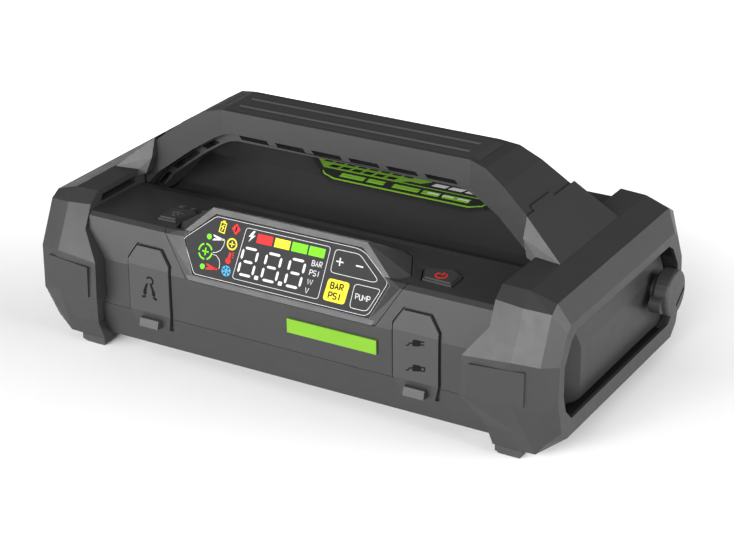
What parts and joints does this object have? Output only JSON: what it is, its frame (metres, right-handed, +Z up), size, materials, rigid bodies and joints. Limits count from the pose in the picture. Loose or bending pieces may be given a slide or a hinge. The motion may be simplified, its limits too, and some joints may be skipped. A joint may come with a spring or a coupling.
{
  "type": "jump starter pack",
  "caption": "Portable car jump starter and tyre inflator with carrying handle, armoured end rings, display, hinged port flaps and capped hose port.",
  "frame": {"origin": "middle of the footprint, on the surface the feet stand on", "axes": "+X along the pack towards the hose port, front face towards -Y, +Z up"},
  "size_m": [0.278, 0.1592, 0.1131],
  "materials": {
    "casing": "fine moulded texture",
    "armour": "fine moulded texture",
    "handle": "satin moulded texture",
    "rubber": "matt",
    "black_plastic": "satin",
    "lens": "polished",
    "clear_lens": "clear",
    "green_print": "satin",
    "circuit_board": "solder mask",
    "steel": "bright",
    "brass": "bright",
    "aluminium": "cast",
    "cell_wrap": "shrink wrap",
    "pump_plastic": "moulded",
    "white_print": "printed",
    "red_print": "printed",
    "yellow_print": "printed",
    "blue_print": "printed"
  },
  "bodies": {
    "casing": {"upper_shell": "casing", "lower_shell": "casing", "bumper_left": "armour", "bumper_right": "armour", "foot_front_left": "rubber", "foot_rear_left": "rubber", "foot_front_right": "rubber", "foot_rear_right": "rubber", "end_panel_right": "casing", "end_panel_left": "casing", "handle_frame": "handle", "handle_grip": "rubber", "handle_liner": "casing", "display_cover": "casing", "display_lens": "lens", "display_board": "circuit_board", "clamp_socket": "black_plastic", "clamp_contact_positive": "brass", "clamp_contact_negative": "brass", "usb_a_port": "steel", "usb_c_port": "steel", "light_switch": "black_plastic", "power_switch": "black_plastic", "label_plate": "black_plastic", "badge_plate": "green_print", "hose_port": "brass", "lamp_reflector": "aluminium", "lamp_lens": "clear_lens", "lamp_board": "circuit_board", "battery_cell_1": "cell_wrap", "battery_cell_2": "cell_wrap", "battery_cell_3": "cell_wrap", "battery_cell_4": "cell_wrap", "battery_tray": "black_plastic", "bus_bar": "brass", "main_board": "circuit_board", "pump_frame": "pump_plastic", "pump_motor": "steel", "connecting_rod": "aluminium", "piston": "aluminium", "pump_cylinder": "aluminium", "pump_head": "aluminium", "air_tube": "rubber", "case_screw_1": "steel", "case_screw_2": "steel", "case_screw_3": "steel", "case_screw_4": "steel"},
    "clamp_flap": {"clamp_flap": "rubber"},
    "charge_flap": {"charge_flap": "rubber"},
    "light_button": {"light_button": "rubber"},
    "power_button": {"power_button": "rubber"},
    "hose_cap": {"hose_cap": "rubber"},
    "crank": {"crank_gear": "pump_plastic"},
    "pinion": {"motor_pinion": "steel"}
  },
  "joints": [
    {"name": "clamp_flap_hinge", "type": "hinge", "parent": "casing", "child": "clamp_flap", "pos_m": [-0.0736, -0.0706, 0.0624], "axis": [-1, 0, 0], "range_deg": [0, 100]},
    {"name": "charge_flap_hinge", "type": "hinge", "parent": "casing", "child": "charge_flap", "pos_m": [0.0676, -0.0706, 0.0624], "axis": [-1, 0, 0], "range_deg": [0, 100]},
    {"name": "light_button_press", "type": "slide", "parent": "casing", "child": "light_button", "axis": [0, 0, -1], "range_m": [0, 0.001], "stiffness_N_per_m": 500, "springref_m": -0.002},
    {"name": "power_button_press", "type": "slide", "parent": "casing", "child": "power_button", "axis": [0, 0, -1], "range_m": [0, 0.001], "stiffness_N_per_m": 500, "springref_m": -0.002},
    {"name": "hose_cap_pull", "type": "slide", "parent": "casing", "child": "hose_cap", "axis": [1, 0, 0], "range_m": [0, 0.014]},
    {"name": "crank_spin", "type": "hinge", "parent": "casing", "child": "crank", "pos_m": [0.059, 0.005, 0.035], "axis": [0, 1, 0], "continuous": true},
    {"name": "pinion_spin", "type": "hinge", "parent": "casing", "child": "pinion", "pos_m": [0.032, 0.005, 0.035], "axis": [0, 1, 0], "continuous": true}
  ],
  "couplings": [
    {"joint": "pinion_spin", "follows": "crank_spin", "ratio": -3.5}
  ]
}
